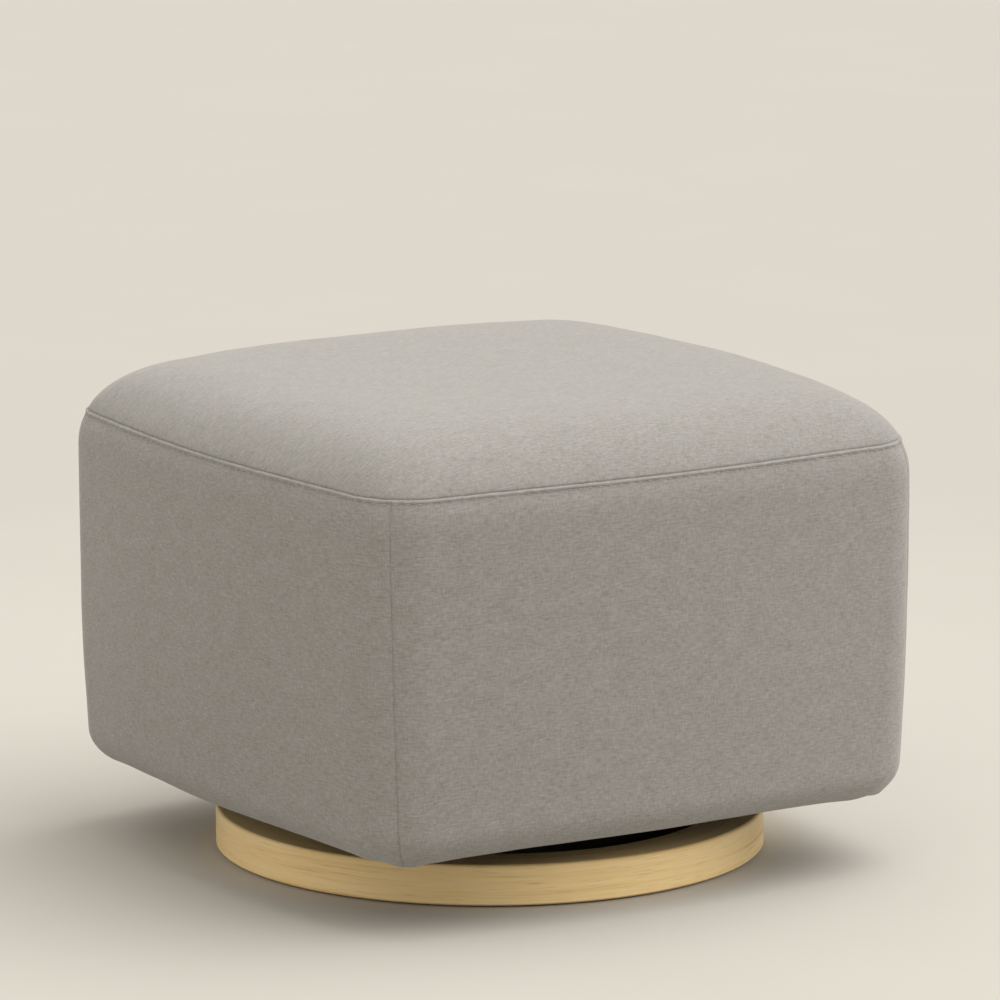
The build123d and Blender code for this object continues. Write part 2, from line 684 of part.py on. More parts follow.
with BuildPart() as corner_blocks:
    for base_height in (frame_bottom + block_inset, deck_bottom - block_inset - block_height):
        with BuildSketch(Plane.XY.offset(base_height)):
            with BuildLine():
                Polyline(
                    (frame_x - post_size, rail_inside_y),
                    (frame_x - block_leg, rail_inside_y),
                    (rail_inside_x, frame_y - block_leg),
                    (rail_inside_x, frame_y - post_size),
                    (frame_x - post_size, frame_y - post_size),
                    close=True,
                )
            make_face()
            mirror(about=Plane.XZ)
            mirror(about=Plane.YZ)
        extrude(amount=block_height)
corner_blocks.part.label = "corner_blocks"
export_step(corner_blocks.part, "parts/corner_blocks.step")

with BuildPart() as top_deck:
    with BuildSketch(Plane.XY.offset(deck_bottom)) as board_plan:
        Rectangle(2 * frame_x, 2 * frame_y)
        chamfer(board_plan.vertices(), corner_cut)
        with GridLocations(vent_spacing, vent_spacing, 2, 2):
            Circle(vent_radius, mode=Mode.SUBTRACT)
        Circle(vent_radius, mode=Mode.SUBTRACT)
    extrude(amount=deck_thickness)
top_deck.part.label = "top_deck"
export_step(top_deck.part, "parts/top_deck.step")

# ---------------------------------------------------------------- upholstery
cover_outside = upholstered_form(0)
cover_inside = upholstered_form(cover_thickness)
foam_outside = upholstered_form(cover_thickness + soft_gap)

for side, (side_x, side_y) in sides.items():
    with BuildPart() as panel:
        with BuildSketch(Plane.XY.offset(frame_bottom + foot_gap)):
            if side_y:
                with Locations((0, side_y * (frame_y + panel_thickness / 2))):
                    Rectangle(2 * (frame_x - panel_end_gap), panel_thickness)
            else:
                with Locations((side_x * (frame_x + panel_thickness / 2), 0)):
                    Rectangle(panel_thickness, 2 * (frame_y - panel_end_gap))
        extrude(amount=deck_height - frame_bottom - foot_gap)
    panel.part.label = f"{side}_panel"
    export_step(panel.part, f"parts/{side}_panel.step")

    with BuildPart() as side_foam:
        add(foam_outside)
        add(side_wedge(side_x, side_y, frame_bottom))
        extrude(amount=deck_height - frame_bottom, mode=Mode.INTERSECT)
        with BuildSketch(Plane.XY.offset(frame_bottom)) as frame_plan:
            Rectangle(2 * panel_x, 2 * panel_y)
            chamfer(frame_plan.vertices(), corner_cut + 2 * panel_thickness - soft_gap * sqrt(2))
        extrude(amount=deck_height - frame_bottom, mode=Mode.SUBTRACT)
    side_foam.part.label = f"{side}_foam"
    export_step(side_foam.part, f"parts/{side}_foam.step")

    with BuildPart() as side_cover:
        add(cover_outside)
        add(cover_inside, mode=Mode.SUBTRACT)
        add(side_wedge(side_x, side_y, body_underside))
        extrude(amount=seam_height - body_underside, mode=Mode.INTERSECT)
        with BuildSketch(Plane.XY.offset(body_underside)):
            Rectangle(2 * (frame_x - cover_lip), 2 * (frame_y - cover_lip))
        extrude(amount=cover_thickness, mode=Mode.SUBTRACT)
    side_cover.part.label = f"{side}_cover"
    export_step(side_cover.part, f"parts/{side}_cover.step")

with BuildPart() as top_foam:
    add(foam_outside)
    split(bisect_by=Plane.XY.offset(deck_height), keep=Keep.TOP)
top_foam.part.label = "top_foam"
export_step(top_foam.part, "parts/top_foam.step")

with BuildPart() as top_cover:
    add(cover_outside)
    add(cover_inside, mode=Mode.SUBTRACT)
    split(bisect_by=Plane.XY.offset(seam_height), keep=Keep.TOP)
top_cover.part.label = "top_cover"
export_step(top_cover.part, "parts/top_cover.step")

# cloth stapled under the frame in four pieces, round the mechanism
cloth_x = frame_x - cover_lip + lip_overlap
cloth_y = frame_y - cover_lip + lip_overlap
well_x = flange_end + pocket_gap
cloth_top = body_underside - soft_gap
with BuildPart() as dust_cloths:
    with BuildSketch(Plane.XY.offset(cloth_top)) as cloths:
        for sign in (-1, 1):
            with Locations((sign * (well_x + soft_gap + cloth_x) / 2, 0)):
                Rectangle(cloth_x - well_x - soft_gap, 2 * cloth_y)
            with Locations((0, sign * (stretcher_y + cloth_y) / 2)):
                Rectangle(2 * well_x, cloth_y - stretcher_y)
        chamfer(cloths.vertices().filter_by(lambda v: abs(v.X) > cloth_x - 1), corner_cut / 2)
    extrude(amount=-cloth_thickness)
dust_cloths.part.label = "dust_cloths"
export_step(dust_cloths.part, "parts/dust_cloths.step")
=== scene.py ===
import bpy
import bmesh
import math
from mathutils import Matrix, Vector, noise
from mathutils.bvhtree import BVHTree


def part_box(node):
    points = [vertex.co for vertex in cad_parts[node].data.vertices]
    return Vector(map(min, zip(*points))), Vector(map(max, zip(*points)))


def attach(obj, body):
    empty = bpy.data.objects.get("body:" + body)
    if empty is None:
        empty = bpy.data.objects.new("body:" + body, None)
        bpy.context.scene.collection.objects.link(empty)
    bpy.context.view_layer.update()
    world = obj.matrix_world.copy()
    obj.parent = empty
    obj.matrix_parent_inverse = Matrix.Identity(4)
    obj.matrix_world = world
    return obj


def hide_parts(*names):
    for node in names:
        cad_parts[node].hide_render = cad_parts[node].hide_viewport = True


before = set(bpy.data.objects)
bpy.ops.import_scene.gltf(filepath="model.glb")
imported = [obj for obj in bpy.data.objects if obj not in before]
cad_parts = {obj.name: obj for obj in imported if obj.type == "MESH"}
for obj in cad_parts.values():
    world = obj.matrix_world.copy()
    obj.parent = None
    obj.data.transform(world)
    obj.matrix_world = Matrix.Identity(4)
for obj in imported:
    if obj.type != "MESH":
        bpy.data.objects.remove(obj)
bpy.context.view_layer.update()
scene = bpy.context.scene
print("stage: frame loaded,", len(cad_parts), "nodes")


# shader maths: a socket that can be used in sums
class Wire:
    def __init__(self, finish, socket):
        self.finish, self.socket = finish, socket

    def calc(self, operation, *others):
        return self.finish.add("ShaderNodeMath", {"operation": operation}, [self, *others])

    def __add__(self, other):
        return self.calc("ADD", other)

    def __sub__(self, other):
        return self.calc("SUBTRACT", other)

    def __rsub__(self, other):
        return self.finish.add("ShaderNodeMath", {"operation": "SUBTRACT"}, [other, self])

    def __mul__(self, other):
        return self.calc("MULTIPLY", other)

    __radd__, __rmul__ = __add__, __mul__


class Finish:
    # one material; add() makes any node from its type, its settings and its inputs
    def __init__(self, name):
        self.material = bpy.data.materials.new(name)
        self.material.use_nodes = True
        self.tree = self.material.node_tree
        self.tree.nodes.clear()

    def add(self, kind, settings=None, inputs=None, output=0):
        node = self.tree.nodes.new(kind)
        for key, value in (settings or {}).items():
            if key == "stops":
                ramp = node.color_ramp
                while len(ramp.elements) < len(value):
                    ramp.elements.new(0.5)
                for element, (place, tone) in zip(ramp.elements, value):
                    element.position, element.color = place, (*tone, 1)
            else:
                setattr(node, key, value)
        pairs = inputs.items() if isinstance(inputs, dict) else enumerate(inputs or [])
        for key, value in pairs:
            if isinstance(value, Wire):
                self.tree.links.new(value.socket, node.inputs[key])
            else:
                node.inputs[key].default_value = value
        return Wire(self, node.outputs[output]) if node.outputs else None

    def objectPoint(self):
        return self.add("ShaderNodeTexCoord", output=3)  # output 3 is Object

    def split(self, vector):
        first = self.add("ShaderNodeSeparateXYZ", {}, [vector])
        return [Wire(self, socket) for socket in first.socket.node.outputs]

    def join(self, x, y, z=0.0):
        return self.add("ShaderNodeCombineXYZ", {}, [x, y, z])

    def grain(self, vector, scale, detail=2.0, roughness=0.5):
        return self.add("ShaderNodeTexNoise", {}, {"Vector": vector, "Scale": scale,
                                                   "Detail": detail, "Roughness": roughness})

    def ramp(self, factor, stops):
        return self.add("ShaderNodeValToRGB", {"stops": stops}, [factor])

    def mix(self, factor, first, second):
        first, second = [(*c, 1) if isinstance(c, tuple) else c for c in (first, second)]
        # sockets 6 and 7 are the two colours, and output 2 is the mixed one
        return self.add("ShaderNodeMix", {"data_type": "RGBA"},
                        {0: factor, 6: first, 7: second}, output=2)

    def step(self, factor, low, high):
        return self.add("ShaderNodeMapRange", {"clamp": True}, [factor, low, high, 0.0, 1.0])

    def bump(self, height, strength, distance):
        return self.add("ShaderNodeBump", {}, {"Strength": strength, "Distance": distance,
                                               "Height": height})

    def surface(self, **sockets):
        # baseColor is written for "Base Color", and so on
        named = {"specularLevel": "Specular IOR Level"}
        spaced = {key: "".join(" " + c if c.isupper() else c for c in key) for key in sockets}
        inputs = {named.get(key, spaced[key][0].upper() + spaced[key][1:]): value
                  for key, value in sockets.items()}
        shader = self.add("ShaderNodeBsdfPrincipled", {}, inputs)
        self.add("ShaderNodeOutputMaterial", {}, [shader])
        return self.material


# finishes
weave = {
    "thread": 0.00072,  # one thread to the next
    "yarn": (0.282, 0.271, 0.257),
    "paleYarn": (0.330, 0.322, 0.312),
    "darkYarn": (0.230, 0.216, 0.193),
    "warmYarn": (0.279, 0.252, 0.207),
    "fleck": (0.13, 0.114, 0.09),
    "sheen": 0.25,
}


def heatherWeave():
    f = Finish("heatherWeave")
    u, v, _ = f.split(f.add("ShaderNodeUVMap", {"uv_map": "weave"}))
    pitch = weave["thread"]
    # slubs: streaks a few millimetres long, one or two threads wide, both ways
    weft = f.grain(f.join(u * 130, v * (0.44 / pitch)), 1.0, 1.0)
    warp = f.grain(f.join(u * (0.44 / pitch), v * 165 + 37), 1.0, 1.0)
    knots = f.grain(f.join(u * 330 + 11, v * 330), 1.0, 1.0)
    cloud = f.grain(f.join(u * 46, v * 62), 1.0, 3.0, 0.6)
    tone = weft * 0.56 + warp * 0.38 + knots * 0.2 + cloud * 0.26
    colour = f.ramp(tone, [(0.51, weave["darkYarn"]), (0.70, weave["yarn"]),
                           (0.89, weave["paleYarn"])])
    warmth = f.grain(f.join(u * 260 + 21, v * 210 + 17), 1.0, 2.0, 0.6)
    colour = f.mix(f.step(warmth, 0.5, 0.68) * 0.5, colour, weave["warmYarn"])
    fleckNoise = f.grain(f.join(u * 170 + 5, v * 620 + 3), 1.0, 1.0)
    colour = f.mix(f.step(fleckNoise, 0.66, 0.76) * 0.34, colour, weave["fleck"])
    paleNoise = f.grain(f.join(u * 560 + 9, v * 230 + 8), 1.0, 1.0)
    colour = f.mix(f.step(paleNoise, 0.67, 0.77) * 0.4, colour, weave["paleYarn"])
    # plain weave: each thread is high where it passes over
    turn = math.pi / pitch
    drift = knots * 0.0011  # threads don't run dead straight
    rowsUp = ((u + drift) * turn).calc("SINE") * 0.5 + 0.5
    colsUp = ((v - drift) * turn).calc("SINE") * 0.5 + 0.5
    over = (rowsUp * colsUp) + (1 - rowsUp) * (1 - colsUp)
    height = over * 0.45 + weft * 0.4 + warp * 0.25
    normal = f.bump(height, 0.5, 0.00028)
    return f.surface(baseColor=colour, roughness=0.93, normal=normal, sheenWeight=weave["sheen"],
                     sheenRoughness=0.45, specularLevel=0.2)


oak = {
    "pale": (0.96, 0.735, 0.385),
    "mid": (0.90, 0.645, 0.295),
    "dark": (0.68, 0.44, 0.175),
    "pore": (0.42, 0.25, 0.095),
}


def ringOak():
    f = Finish("ringOak")
    x, y, z = f.split(f.objectPoint())
    radius = (x * x + y * y).calc("SQRT")
    across = z + radius  # runs up the wall and in over the top edge
    swell = f.grain(f.join(x * 5, y * 5, across * 26), 1.0, 2.0)
    across = across + swell * 0.006
    bands = f.grain(f.join(x * 4, y * 4, across * 210), 1.0, 4.0, 0.62)
    fine = f.grain(f.join(x * 22, y * 22, across * 1500), 1.0, 3.0, 0.6)
    tone = bands * 0.75 + fine * 0.35 + swell * 0.12
    colour = f.ramp(tone, [(0.38, oak["dark"]), (0.52, oak["mid"]), (0.70, oak["pale"])])
    pores = f.grain(f.join(x * 34, y * 34, across * 1000), 1.0, 1.0)
    poreMask = f.step(pores, 0.63, 0.74)
    colour = f.mix(poreMask * 0.3, colour, oak["pore"])
    normal = f.bump(fine * 0.6 - poreMask * 0.5, 0.25, 0.0003)
    return f.surface(baseColor=colour, roughness=0.5 + fine * 0.12, normal=normal,
                     coatWeight=0.12, coatRoughness=0.4)


def sawnTimber(name, pale, dark, along):
    # along: 0, 1 or 2, the axis that the grain runs along
    f = Finish(name)
    point = f.split(f.objectPoint())
    stretched = f.join(*[p * (9 if i == along else 120) for i, p in enumerate(point)])
    rings = f.grain(stretched, 1.0, 4.0, 0.6)
    fibre = f.grain(stretched, 6.0, 2.0)
    colour = f.ramp(rings * 0.8 + fibre * 0.3, [(0.38, dark), (0.66, pale)])
    return f.surface(baseColor=colour, roughness=0.62 + fibre * 0.2,
                     normal=f.bump(fibre, 0.3, 0.0004))


def pressedBoard():
    f = Finish("pressedBoard")
    chips = f.grain(f.objectPoint(), 260.0, 3.0, 0.7)
    colour = f.ramp(chips, [(0.35, (0.22, 0.15, 0.085)), (0.68, (0.42, 0.31, 0.19))])
    return f.surface(baseColor=colour, roughness=0.7 + chips * 0.2,
                     normal=f.bump(chips, 0.25, 0.0003))


def openFoam():
    f = Finish("openFoam")
    point = f.objectPoint()
    cells = f.add("ShaderNodeTexVoronoi", {}, {"Vector": point, "Scale": 900.0})
    cloud = f.grain(point, 14.0, 3.0)
    colour = f.mix(cloud, (0.86, 0.80, 0.60), (0.80, 0.72, 0.50))
    return f.surface(baseColor=colour, roughness=0.95, normal=f.bump(cells, 0.5, 0.0006))


spun = {
    "dotSpacing": 0.0016,  # where the fibres are bonded
    "dark": (0.012, 0.012, 0.013),
    "pale": (0.05, 0.05, 0.052),
}


def spunCloth():
    f = Finish("spunCloth")
    u, v, _ = f.split(f.add("ShaderNodeUVMap", {"uv_map": "weave"}))
    fibres = f.grain(f.join(u * 900, v * 900), 1.0, 3.0, 0.7)
    turn = math.pi / spun["dotSpacing"]
    dots = (u * turn).calc("SINE") * (v * turn).calc("SINE")
    colour = f.ramp(fibres * 0.8 + dots * 0.12, [(0.3, spun["dark"]), (0.75, spun["pale"])])
    return f.surface(baseColor=colour, roughness=0.9, normal=f.bump(dots + fibres, 0.4, 0.0003))


def coatedSteel():
    f = Finish("coatedSteel")
    orangePeel = f.grain(f.objectPoint(), 900.0, 2.0)
    wear = f.grain(f.objectPoint(), 35.0, 4.0, 0.65)
    colour = f.ramp(wear, [(0.3, (0.018, 0.018, 0.019)), (0.75, (0.04, 0.04, 0.041))])
    return f.surface(baseColor=colour, metallic=0.0, roughness=0.42 + wear * 0.2,
                     normal=f.bump(orangePeel, 0.3, 0.0002))


def zincPlate():
    f = Finish("zincPlate")
    smear = f.grain(f.objectPoint(), 160.0, 4.0, 0.6)
    colour = f.ramp(smear, [(0.3, (0.42, 0.42, 0.43)), (0.7, (0.66, 0.66, 0.65))])
    return f.surface(baseColor=colour, metallic=1.0, roughness=0.25 + smear * 0.25,
                     normal=f.bump(smear, 0.12, 0.0002))


def mouldedPlastic(name, colour, shade, roughness):
    f = Finish(name)
    flow = f.grain(f.objectPoint(), 220.0, 3.0)
    tone = f.mix(flow, colour, shade)
    return f.surface(baseColor=tone, roughness=roughness + flow * 0.15,
                     normal=f.bump(flow, 0.15, 0.0002))


def pressedFelt():
    f = Finish("pressedFelt")
    fibres = f.grain(f.objectPoint(), 1400.0, 4.0, 0.75)
    colour = f.ramp(fibres, [(0.3, (0.02, 0.017, 0.014)), (0.7, (0.075, 0.065, 0.055))])
    return f.surface(baseColor=colour, roughness=0.95, normal=f.bump(fibres, 0.6, 0.0005))


def threadFinish():
    f = Finish("sewingThread")
    twist = f.grain(f.objectPoint(), 1800.0, 2.0)
    colour = f.ramp(twist, [(0.3, (0.33, 0.31, 0.28)), (0.7, (0.56, 0.54, 0.50))])
    return f.surface(baseColor=colour, roughness=0.6, normal=f.bump(twist, 0.3, 0.0002))


fabric = heatherWeave()
foamFinish = openFoam()
thread = threadFinish()
clothFinish = spunCloth()
zinc = zincPlate()
steelFinish = coatedSteel()
pineX = sawnTimber("pineAcross", (0.72, 0.56, 0.36), (0.52, 0.36, 0.19), 0)
pineY = sawnTimber("pineAlong", (0.72, 0.56, 0.36), (0.52, 0.36, 0.19), 1)
pineZ = sawnTimber("pineUpright", (0.72, 0.56, 0.36), (0.52, 0.36, 0.19), 2)
deckPly = sawnTimber("deckPly", (0.74, 0.60, 0.40), (0.60, 0.45, 0.27), 1)
nodeFinish = {
    "base_ring": ringOak(),
    "floor_pads": pressedFelt(),
    "stop_bumpers": mouldedPlastic("bumperRubber", (0.014, 0.014, 0.014),
                                   (0.03, 0.03, 0.03), 0.6),
    "top_deck": deckPly,
    "corner_posts": pineZ,
    "corner_blocks": pineZ,
    "mount_stretchers": pineX,
    "left_mount_rail": pineY,
    "right_mount_rail": pineY,
}
board = pressedBoard()
nylon = mouldedPlastic("bushNylon", (0.72, 0.70, 0.64), (0.80, 0.78, 0.73), 0.35)
for name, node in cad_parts.items():
    if name.endswith("_panel"):
        nodeFinish[name] = board
    elif name.endswith("_rail") and name.split("_")[1] in ("top", "bottom"):
        nodeFinish[name] = pineX if name.split("_")[0] in ("front", "rear") else pineY
    elif name.startswith("link_bushes"):
        nodeFinish[name] = nylon
    elif any(word in name for word in ("screws", "bolts", "nuts", "pins", "sleeves")):
        nodeFinish[name] = zinc
    finish = nodeFinish.get(name, steelFinish)
    node.data.materials.clear()
    node.data.materials.append(finish)
print("stage: finishes made")


# the block's shape, in metres
block = {
    "halfWidth": 0.2960,  # middle of the block to the middle of a side, at the top seam
    "bow": 0.01915,  # how far the middle of a side stands out from its ends
    "cornerRadius": 0.0616,
    "seamHeight": 0.38093,
    "seamRise": 0.0019,  # the seam is higher in the middle of a side
    "crown": 0.04802,
    "crownPower": 8.08,
    "crownRound": 0.919,
    "underside": 0.0663,
    "cornerDrop": 0.00525,  # the corners hang lower
    "ear": 0.0068,  # fold of cloth at the foot of each corner seam
    "earWidth": 0.014,
    "earHeight": 0.013,
    "earMiddle": 0.004,  # above the edge of the lip
    "earSag": 0.35,  # how much of it hangs down
    "lean": 0.0085,  # foot of a corner seam to one side of its top
    "roll": 0.0280,
    "taper": 0.0053,
    "belly": 0.00283,
    "shoulder": 0.0062,
    "shoulderHeight": 0.032,
    "unevenness": 0.0007,
}
cover = {
    "thickness": 0.0014,
    "columns": 190,
    "lip": 0.046,  # cloth turned in under the frame
    "grooveDepth": 0.0009,
    "grooveWidth": 0.0011,
    "cornerDepth": 0.0008,
    "valley": (0.0005, 0.006),  # depth and width of the soft dip round a joint
    "band": 0.0040,  # joint to the topstitched line
    "bandHeight": 0.0013,
    "stitchGroove": 0.0004,
    "stitchGrooveWidth": 0.0006,
    "underStitch": (0.0003, 0.004),  # soft dip below the topstitched line
    "stitchPitch": 0.0098,
    "pull": 0.0004,  # small pulls of the top cover beside its seam
    "pullReach": 0.012,
    "topShare": 0.93,  # of a square, for the top's rounded outline
}
sideTurn = {"front": 0, "right": 1, "rear": 2, "left": 3}
cornerAt = block["halfWidth"] - block["cornerRadius"] - block["bow"]
bowRadius = (cornerAt**2 + block["bow"]**2) / (2 * block["bow"])
bowAngle = math.asin(cornerAt / bowRadius)
bowLength = (bowRadius + block["cornerRadius"]) * bowAngle
sideLength = bowLength + block["cornerRadius"] * (math.pi / 4 - bowAngle)


def outlinePoint(w):
    # w from -1 to 1 between two corner seams: place along, place out, corner weight
    walked = abs(w) * sideLength
    if walked < bowLength:
        angle = walked / (bowRadius + block["cornerRadius"])
        along = (bowRadius + block["cornerRadius"]) * math.sin(angle)
        out = (block["halfWidth"] - block["cornerRadius"] - bowRadius
               + (bowRadius + block["cornerRadius"]) * math.cos(angle))
        corner = (walked / bowLength) ** 4
    else:
        angle = bowAngle + (walked - bowLength) / block["cornerRadius"]
        along = cornerAt + block["cornerRadius"] * math.sin(angle)
        out = cornerAt + block["cornerRadius"] * math.cos(angle)
        corner = 1.0
    return math.copysign(along, w), out, corner


def turned(side, along, out, z):
    # from a side's own directions to the block's
    x, y = along, -out
    for _ in range(sideTurn[side]):
        x, y = -y, x
    return Vector((x, y, z))


def profileInset(z, bottom, top):
    share = min(1.0, max(0.0, (z - bottom) / (top - bottom)))
    rise = max(0.0, (z - top) / block["shoulderHeight"] + 1)
    return (block["taper"] * (1 - share) - block["belly"] * 4 * share * (1 - share)
            + block["shoulder"] * (min(rise, 1.0) ** 2 - 1))


def sidePoint(side, w, walk):
    # walk: metres up the profile, from the inner edge of the lip to the top seam
    toSeam = (1 - abs(w)) * sideLength
    w += block["lean"] / sideLength * min(1.0, 1 - walk / profileLength)
    along, out, corner = outlinePoint(w)
    bottom = block["underside"] - block["cornerDrop"] * corner
    top = block["seamHeight"] + block["seamRise"] * (1 - corner)
    roll = block["roll"]
    if walk < cover["lip"]:
        inward = cover["lip"] - walk
        ease = min(1.0, inward / cover["lip"])
        z = bottom + (block["underside"] - bottom) * ease * ease * (3 - 2 * ease)
        inset = roll + inward + profileInset(bottom, bottom, top)
    elif walk < cover["lip"] + roll * math.pi / 2:
        angle = (walk - cover["lip"]) / roll
        z = bottom + roll * (1 - math.cos(angle))
        inset = roll * (1 - math.sin(angle)) + profileInset(z, bottom, top)
    else:
        start = cover["lip"] + roll * math.pi / 2
        share = (walk - start) / (profileLength - start)
        z = bottom + roll + (top - bottom - roll) * share
        inset = profileInset(z, bottom, top)
    aboveEar = walk - cover["lip"] - block["earMiddle"]
    ear = block["ear"] * math.exp(-((toSeam / block["earWidth"]) ** 2)
                                  - (aboveEar / block["earHeight"]) ** 2)
    inset -= ear
    z -= block["earSag"] * ear
    scale = (block["halfWidth"] - inset) / block["halfWidth"]
    return turned(side, along * scale, out * scale, z)


profileLength = (cover["lip"] + block["roll"] * math.pi / 2
                 + block["seamHeight"] - block["underside"] - block["roll"])


def dip(distance, depth, width):
    return -depth * math.exp(-((distance / width) ** 2))


def seamDip(distance, depth=cover["grooveDepth"]):
    # a sewn joint: a narrow valley in a shallow soft one
    return dip(distance, depth, cover["grooveWidth"]) + dip(distance, *cover["valley"])


def bandRelief(below, walked):
    # the seam allowance stitched down as a slim roll, fuller between the stitches
    pucker = 0.5 + 0.5 * math.cos(2 * math.pi * walked / cover["stitchPitch"])
    wander = (noise.noise(Vector((walked * 70, 3.1, 0)))
              + noise.noise(Vector((walked * 210, 7.7, 0))))
    across = min(1.0, below / cover["band"])
    roll = math.sin(math.pi * across) * (0.6 + 0.55 * wander + 0.4 * pucker)
    past = below - cover["band"]
    groove = dip(past, cover["stitchGroove"] * (1.2 - 0.6 * pucker), cover["stitchGrooveWidth"])
    soft = dip(past - cover["underStitch"][1], *cover["underStitch"])
    return cover["bandHeight"] * roll + groove + soft


def unevenness(point, strength=1.0):
    # the slow waves of cloth pulled over foam
    wide = noise.noise(point * 9 + Vector((4, 9, 2)))
    small = noise.noise(point * 26 + Vector((1, 5, 7)))
    return block["unevenness"] * strength * (wide * 1.3 + small * 0.35)


def newPiece(name, bm, material, body="seat", replaced=()):
    mesh = bpy.data.meshes.new(name)
    bm.to_mesh(mesh)
    bm.free()
    mesh.materials.append(material)
    for face in mesh.polygons:
        face.use_smooth = True
    piece = bpy.data.objects.new(name, mesh)
    scene.collection.objects.link(piece)
    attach(piece, body)
    if replaced:
        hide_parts(*replaced)
    return piece


def spread(stops):
    # places along a line from (end, count) pairs
    places = [0.0]
    for end, count in stops:
        start = places[-1]
        places += [start + (end - start) * (i + 1) / count for i in range(count)]
    return places


def gridSheet(columns, rows, place):
    # a grid whose every point is placed by its column and row
    bm = bmesh.new()
    bmesh.ops.create_grid(bm, x_segments=columns, y_segments=rows, size=1)
    layer = bm.loops.layers.uv.new("weave")
    weaveAt = {}
    for vert in bm.verts:
        column = round((vert.co.x + 1) / 2 * columns)
        row = round((vert.co.y + 1) / 2 * rows)
        vert.co, weaveAt[vert] = place(column, row)
    for face in bm.faces:
        for loop in face.loops:
            loop[layer].uv = weaveAt[loop.vert][:2]
    bm.normal_update()
    return bm, weaveAt


def thicken(piece, thickness):
    solid = piece.modifiers.new("clothThickness", "SOLIDIFY")
    solid.thickness, solid.offset = thickness, -1


# side covers
columns = cover["columns"]
# columns lie closer together towards the corner seams
across = [g + 0.89 * math.sin(math.pi * g) / math.pi for g in
          [2 * i / columns - 1 for i in range(columns + 1)]]
rollEnd = cover["lip"] + block["roll"] * math.pi / 2
upward = spread([(cover["lip"], 8), (rollEnd, 16), (profileLength - 0.014, 56),
                 (profileLength - 0.0078, 10), (profileLength, 26)])
rows = len(upward) - 1


def makeSideCover(side):
    def place(column, row):
        w, walk = across[column], upward[row]
        return sidePoint(side, w, walk), (w * sideLength, walk)

    bm, weaveAt = gridSheet(columns, rows, place)
    for vert, (walked, walk) in weaveAt.items():
        fromCorner = sideLength - abs(walked)
        below = profileLength - walk
        dips = min(seamDip(fromCorner, cover["cornerDepth"]), seamDip(below))
        relief = bandRelief(below, walked)
        waves = unevenness(vert.co) * min(1.0, below / 0.02, walk / cover["lip"])
        vert.co += vert.normal * (dips + relief + waves)
    name = side + "Cover"
    piece = newPiece(name, bm, fabric, replaced=[side + "_cover"])
    thicken(piece, cover["thickness"])
    flat = (2 * sideLength, profileLength)
    return piece


sideCovers = {side: makeSideCover(side) for side in sideTurn}
print("stage: side covers made")

# top cover
rings = [1 - q for q in spread([(0.012, 12), (0.03, 9), (0.11, 22), (0.3, 22), (1.0, 30)])][::-1]
ringCount = len(rings) - 1


def topHeight(q, corner):
    rise = max(0.0, 1 - q ** block["crownPower"]) ** block["crownRound"]
    return block["seamHeight"] + block["seamRise"] * (1 - corner) * q + block["crown"] * rise


def walkedTop():
    # length of the line from the middle to each ring, over the crown
    total, lengths = 0.0, [0.0]
    for a, b in zip(rings, rings[1:]):
        total += math.hypot((b - a) * block["halfWidth"], topHeight(b, 0) - topHeight(a, 0))
        lengths.append(total)
    return lengths


def sideAt(i, j):
    # the side that a place of the square top belongs to, and how far along it
    ring = max(abs(i), abs(j), 1e-6)
    if abs(j) >= abs(i):
        return ("front", i / ring) if j < 0 else ("rear", -i / ring)
    return ("right", j / ring) if i > 0 else ("left", -j / ring)


def makeTopCover():
    lengths = walkedTop()

    def place(column, row):
        i, j = column - ringCount, row - ringCount
        ring = max(abs(i), abs(j))
        q = rings[ring]
        if ring == 0:
            return Vector((0, 0, topHeight(0, 0))), (0, 0, 0, 0)
        side, w = sideAt(i, j)
        along, out, corner = outlinePoint(w)
        point = turned(side, along * q, out * q, topHeight(q, corner))
        stretch = lengths[ring] / max(q * block["halfWidth"], 1e-6)
        # the weave's two directions, the way down to the seam and the way along it
        return point, (point.x * stretch, point.y * stretch,
                       lengths[-1] - lengths[ring], w * sideLength)

    bm, facts = gridSheet(2 * ringCount, 2 * ringCount, place)
    for vert, (_, _, above, walked) in facts.items():
        pull = (cover["pull"] * noise.noise(Vector((walked * 60, 8, 1)))
                * math.exp(-above / cover["pullReach"]))
        waves = unevenness(vert.co, 1.2) * min(1.0, above / 0.02)
        vert.co += vert.normal * (seamDip(above) + pull + waves)
    piece = newPiece("topCover", bm, fabric, replaced=["top_cover"])
    thicken(piece, cover["thickness"])
    return piece


topCover = makeTopCover()
print("stage: top cover made")

# topstitching round the seam
stitch = {"length": 0.0046, "thickness": 0.00062, "sunk": 0.0001}


def sideFrame(side, w, walk):
    # a point of the side with the directions along it, out of it and up it
    here = sidePoint(side, w, walk)
    ahead = sidePoint(side, w + 0.004, walk) - sidePoint(side, w - 0.004, walk)
    up = sidePoint(side, w, walk + 0.002) - sidePoint(side, w, walk - 0.002)
    ahead.normalize()
    return here, ahead, ahead.cross(up).normalized(), up.normalized()


def makeTopStitching():
    bm = bmesh.new()
    walk = profileLength - cover["band"]
    for side in sideTurn:
        count = int(2 * sideLength / cover["stitchPitch"])
        for i in range(count):
            walked = (i + 0.5) * 2 * sideLength / count - sideLength
            here, ahead, outward, up = sideFrame(side, walked / sideLength, walk)
            here += outward * -stitch["sunk"]
            turn = Matrix((ahead, outward, up)).transposed().to_4x4()
            size = Matrix.Diagonal((stitch["length"] / 2, stitch["thickness"] / 2,
                                    stitch["thickness"] / 2, 1))
            bmesh.ops.create_icosphere(bm, subdivisions=1, radius=1,
                                       matrix=Matrix.Translation(here) @ turn @ size)
    return newPiece("topStitching", bm, thread)


makeTopStitching()

